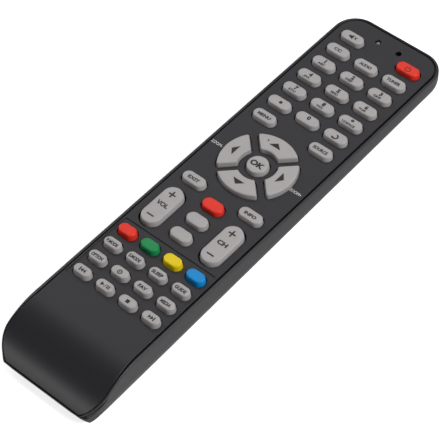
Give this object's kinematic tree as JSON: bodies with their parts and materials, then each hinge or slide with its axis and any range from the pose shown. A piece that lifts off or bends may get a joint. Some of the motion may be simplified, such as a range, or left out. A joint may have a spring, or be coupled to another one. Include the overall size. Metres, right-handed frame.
{
  "type": "tv remote control",
  "caption": "Hand-held television remote control with a full keypad, a ring pad with an OK key, rocker keys for volume and channel, and a sliding battery door.",
  "frame": {"origin": "centre of the bounding box's underside, on the flat back", "axes": "+X to the user's right, +Y towards the far, infrared end, +Z out of the flat back through the keys"},
  "size_m": [0.0484, 0.2064, 0.0196],
  "materials": {
    "shell_plastic": "satin",
    "cover_plastic": "satin",
    "grey_rubber": "matte",
    "red_rubber": "matte",
    "green_rubber": "matte",
    "yellow_rubber": "matte",
    "blue_rubber": "matte",
    "mat_rubber": "matte",
    "board_laminate": "satin",
    "chip_plastic": "matte",
    "lamp_plastic": "clear",
    "emitter_plastic": "tinted clear",
    "window_plastic": "dark gloss",
    "cell_case": "satin",
    "contact_metal": "plated",
    "spring_metal": "plated",
    "screw_metal": "blackened"
  },
  "bodies": {
    "remote": {"rear_shell": "shell_plastic", "top_cover": "cover_plastic", "circuit_board": "board_laminate", "keypad_mat": "mat_rubber", "controller_chip": "chip_plastic", "indicator_lamp": "lamp_plastic", "infrared_emitter": "emitter_plastic", "infrared_window": "window_plastic", "batteries": "cell_case", "battery_contacts": "contact_metal", "battery_springs": "spring_metal", "case_screws": "screw_metal"},
    "battery_door": {"battery_door": "shell_plastic"},
    "key_volume": {"key_volume": "grey_rubber"},
    "key_channel": {"key_channel": "grey_rubber"},
    "key_up": {"key_up": "grey_rubber"},
    "key_left": {"key_left": "grey_rubber"},
    "key_down": {"key_down": "grey_rubber"},
    "key_right": {"key_right": "grey_rubber"},
    "key_ok": {"key_ok": "grey_rubber"},
    "key_mute": {"key_mute": "grey_rubber"},
    "key_power": {"key_power": "red_rubber"},
    "key_captions": {"key_captions": "grey_rubber"},
    "key_audio": {"key_audio": "grey_rubber"},
    "key_tuner": {"key_tuner": "grey_rubber"},
    "key_1": {"key_1": "grey_rubber"},
    "key_2": {"key_2": "grey_rubber"},
    "key_3": {"key_3": "grey_rubber"},
    "key_4": {"key_4": "grey_rubber"},
    "key_5": {"key_5": "grey_rubber"},
    "key_6": {"key_6": "grey_rubber"},
    "key_7": {"key_7": "grey_rubber"},
    "key_8": {"key_8": "grey_rubber"},
    "key_9": {"key_9": "grey_rubber"},
    "key_dash": {"key_dash": "grey_rubber"},
    "key_0": {"key_0": "grey_rubber"},
    "key_return": {"key_return": "grey_rubber"},
    "key_menu": {"key_menu": "grey_rubber"},
    "key_source": {"key_source": "grey_rubber"},
    "key_exit": {"key_exit": "grey_rubber"},
    "key_info": {"key_info": "grey_rubber"},
    "key_shortcut_1": {"key_shortcut_1": "red_rubber"},
    "key_shortcut_2": {"key_shortcut_2": "grey_rubber"},
    "key_shortcut_3": {"key_shortcut_3": "grey_rubber"},
    "key_red": {"key_red": "red_rubber"},
    "key_green": {"key_green": "green_rubber"},
    "key_yellow": {"key_yellow": "yellow_rubber"},
    "key_blue": {"key_blue": "blue_rubber"},
    "key_picture": {"key_picture": "grey_rubber"},
    "key_sound": {"key_sound": "grey_rubber"},
    "key_sleep": {"key_sleep": "grey_rubber"},
    "key_guide": {"key_guide": "grey_rubber"},
    "key_option": {"key_option": "grey_rubber"},
    "key_display": {"key_display": "grey_rubber"},
    "key_favourite": {"key_favourite": "grey_rubber"},
    "key_media": {"key_media": "grey_rubber"},
    "key_previous": {"key_previous": "grey_rubber"},
    "key_play_pause": {"key_play_pause": "grey_rubber"},
    "key_stop": {"key_stop": "grey_rubber"},
    "key_next": {"key_next": "grey_rubber"}
  },
  "joints": [
    {"name": "battery_door_slide", "type": "slide", "parent": "remote", "child": "battery_door", "axis": [0, -1, 0], "range_m": [0, 0.07]},
    {"name": "volume_rock", "type": "hinge", "parent": "remote", "child": "key_volume", "pos_m": [-0.0144, -0.02216, 0.01344], "axis": [1, 0, 0], "range_deg": [-3, 3], "stiffness_Nm_per_rad": 0.15},
    {"name": "channel_rock", "type": "hinge", "parent": "remote", "child": "key_channel", "pos_m": [0.0144, -0.02216, 0.01344], "axis": [1, 0, 0], "range_deg": [-3, 3], "stiffness_Nm_per_rad": 0.15},
    {"name": "up_press", "type": "slide", "parent": "remote", "child": "key_up", "axis": [0, -0.0279, -0.9996], "range_m": [0, 0.0007], "stiffness_N_per_m": 1500},
    {"name": "left_press", "type": "slide", "parent": "remote", "child": "key_left", "axis": [0, -0.0279, -0.9996], "range_m": [0, 0.0007], "stiffness_N_per_m": 1500},
    {"name": "down_press", "type": "slide", "parent": "remote", "child": "key_down", "axis": [0, -0.0279, -0.9996], "range_m": [0, 0.0007], "stiffness_N_per_m": 1500},
    {"name": "right_press", "type": "slide", "parent": "remote", "child": "key_right", "axis": [0, -0.0279, -0.9996], "range_m": [0, 0.0007], "stiffness_N_per_m": 1500},
    {"name": "ok_press", "type": "slide", "parent": "remote", "child": "key_ok", "axis": [0, -0.0279, -0.9996], "range_m": [0, 0.0007], "stiffness_N_per_m": 1500},
    {"name": "power_press", "type": "slide", "parent": "remote", "child": "key_power", "axis": [0, -0.0279, -0.9996], "range_m": [0, 0.0007], "stiffness_N_per_m": 1500},
    {"name": "mute_press", "type": "slide", "parent": "remote", "child": "key_mute", "axis": [0, -0.0279, -0.9996], "range_m": [0, 0.0007], "stiffness_N_per_m": 1500},
    {"name": "5_press", "type": "slide", "parent": "remote", "child": "key_5", "axis": [0, -0.0279, -0.9996], "range_m": [0, 0.0007], "stiffness_N_per_m": 1500},
    {"name": "menu_press", "type": "slide", "parent": "remote", "child": "key_menu", "axis": [0, -0.0279, -0.9996], "range_m": [0, 0.0007], "stiffness_N_per_m": 1500},
    {"name": "info_press", "type": "slide", "parent": "remote", "child": "key_info", "axis": [0, -0.0279, -0.9996], "range_m": [0, 0.0007], "stiffness_N_per_m": 1500},
    {"name": "shortcut_1_press", "type": "slide", "parent": "remote", "child": "key_shortcut_1", "axis": [0, -0.0279, -0.9996], "range_m": [0, 0.0007], "stiffness_N_per_m": 1500},
    {"name": "red_press", "type": "slide", "parent": "remote", "child": "key_red", "axis": [0, -0.0279, -0.9996], "range_m": [0, 0.0007], "stiffness_N_per_m": 1500},
    {"name": "green_press", "type": "slide", "parent": "remote", "child": "key_green", "axis": [0, -0.0279, -0.9996], "range_m": [0, 0.0007], "stiffness_N_per_m": 1500},
    {"name": "yellow_press", "type": "slide", "parent": "remote", "child": "key_yellow", "axis": [0, -0.0279, -0.9996], "range_m": [0, 0.0007], "stiffness_N_per_m": 1500},
    {"name": "blue_press", "type": "slide", "parent": "remote", "child": "key_blue", "axis": [0, -0.0279, -0.9996], "range_m": [0, 0.0007], "stiffness_N_per_m": 1500},
    {"name": "captions_press", "type": "slide", "parent": "remote", "child": "key_captions", "axis": [0, -0.0279, -0.9996], "range_m": [0, 0.0007], "stiffness_N_per_m": 1500},
    {"name": "audio_press", "type": "slide", "parent": "remote", "child": "key_audio", "axis": [0, -0.0279, -0.9996], "range_m": [0, 0.0007], "stiffness_N_per_m": 1500},
    {"name": "tuner_press", "type": "slide", "parent": "remote", "child": "key_tuner", "axis": [0, -0.0279, -0.9996], "range_m": [0, 0.0007], "stiffness_N_per_m": 1500},
    {"name": "1_press", "type": "slide", "parent": "remote", "child": "key_1", "axis": [0, -0.0279, -0.9996], "range_m": [0, 0.0007], "stiffness_N_per_m": 1500},
    {"name": "2_press", "type": "slide", "parent": "remote", "child": "key_2", "axis": [0, -0.0279, -0.9996], "range_m": [0, 0.0007], "stiffness_N_per_m": 1500},
    {"name": "3_press", "type": "slide", "parent": "remote", "child": "key_3", "axis": [0, -0.0279, -0.9996], "range_m": [0, 0.0007], "stiffness_N_per_m": 1500},
    {"name": "4_press", "type": "slide", "parent": "remote", "child": "key_4", "axis": [0, -0.0279, -0.9996], "range_m": [0, 0.0007], "stiffness_N_per_m": 1500},
    {"name": "6_press", "type": "slide", "parent": "remote", "child": "key_6", "axis": [0, -0.0279, -0.9996], "range_m": [0, 0.0007], "stiffness_N_per_m": 1500},
    {"name": "7_press", "type": "slide", "parent": "remote", "child": "key_7", "axis": [0, -0.0279, -0.9996], "range_m": [0, 0.0007], "stiffness_N_per_m": 1500},
    {"name": "8_press", "type": "slide", "parent": "remote", "child": "key_8", "axis": [0, -0.0279, -0.9996], "range_m": [0, 0.0007], "stiffness_N_per_m": 1500},
    {"name": "9_press", "type": "slide", "parent": "remote", "child": "key_9", "axis": [0, -0.0279, -0.9996], "range_m": [0, 0.0007], "stiffness_N_per_m": 1500},
    {"name": "dash_press", "type": "slide", "parent": "remote", "child": "key_dash", "axis": [0, -0.0279, -0.9996], "range_m": [0, 0.0007], "stiffness_N_per_m": 1500},
    {"name": "0_press", "type": "slide", "parent": "remote", "child": "key_0", "axis": [0, -0.0279, -0.9996], "range_m": [0, 0.0007], "stiffness_N_per_m": 1500},
    {"name": "return_press", "type": "slide", "parent": "remote", "child": "key_return", "axis": [0, -0.0279, -0.9996], "range_m": [0, 0.0007], "stiffness_N_per_m": 1500},
    {"name": "source_press", "type": "slide", "parent": "remote", "child": "key_source", "axis": [0, -0.0279, -0.9996], "range_m": [0, 0.0007], "stiffness_N_per_m": 1500},
    {"name": "exit_press", "type": "slide", "parent": "remote", "child": "key_exit", "axis": [0, -0.0279, -0.9996], "range_m": [0, 0.0007], "stiffness_N_per_m": 1500},
    {"name": "shortcut_2_press", "type": "slide", "parent": "remote", "child": "key_shortcut_2", "axis": [0, -0.0279, -0.9996], "range_m": [0, 0.0007], "stiffness_N_per_m": 1500},
    {"name": "shortcut_3_press", "type": "slide", "parent": "remote", "child": "key_shortcut_3", "axis": [0, -0.0279, -0.9996], "range_m": [0, 0.0007], "stiffness_N_per_m": 1500},
    {"name": "picture_press", "type": "slide", "parent": "remote", "child": "key_picture", "axis": [0, -0.0279, -0.9996], "range_m": [0, 0.0007], "stiffness_N_per_m": 1500},
    {"name": "sound_press", "type": "slide", "parent": "remote", "child": "key_sound", "axis": [0, -0.0279, -0.9996], "range_m": [0, 0.0007], "stiffness_N_per_m": 1500},
    {"name": "sleep_press", "type": "slide", "parent": "remote", "child": "key_sleep", "axis": [0, -0.0279, -0.9996], "range_m": [0, 0.0007], "stiffness_N_per_m": 1500},
    {"name": "guide_press", "type": "slide", "parent": "remote", "child": "key_guide", "axis": [0, -0.0279, -0.9996], "range_m": [0, 0.0007], "stiffness_N_per_m": 1500},
    {"name": "option_press", "type": "slide", "parent": "remote", "child": "key_option", "axis": [0, -0.0279, -0.9996], "range_m": [0, 0.0007], "stiffness_N_per_m": 1500},
    {"name": "display_press", "type": "slide", "parent": "remote", "child": "key_display", "axis": [0, -0.0279, -0.9996], "range_m": [0, 0.0007], "stiffness_N_per_m": 1500},
    {"name": "favourite_press", "type": "slide", "parent": "remote", "child": "key_favourite", "axis": [0, -0.0279, -0.9996], "range_m": [0, 0.0007], "stiffness_N_per_m": 1500},
    {"name": "media_press", "type": "slide", "parent": "remote", "child": "key_media", "axis": [0, -0.0279, -0.9996], "range_m": [0, 0.0007], "stiffness_N_per_m": 1500},
    {"name": "previous_press", "type": "slide", "parent": "remote", "child": "key_previous", "axis": [0, -0.0279, -0.9996], "range_m": [0, 0.0007], "stiffness_N_per_m": 1500},
    {"name": "play_pause_press", "type": "slide", "parent": "remote", "child": "key_play_pause", "axis": [0, -0.0279, -0.9996], "range_m": [0, 0.0007], "stiffness_N_per_m": 1500},
    {"name": "stop_press", "type": "slide", "parent": "remote", "child": "key_stop", "axis": [0, -0.0279, -0.9996], "range_m": [0, 0.0007], "stiffness_N_per_m": 1500},
    {"name": "next_press", "type": "slide", "parent": "remote", "child": "key_next", "axis": [0, -0.0279, -0.9996], "range_m": [0, 0.0007], "stiffness_N_per_m": 1500}
  ]
}
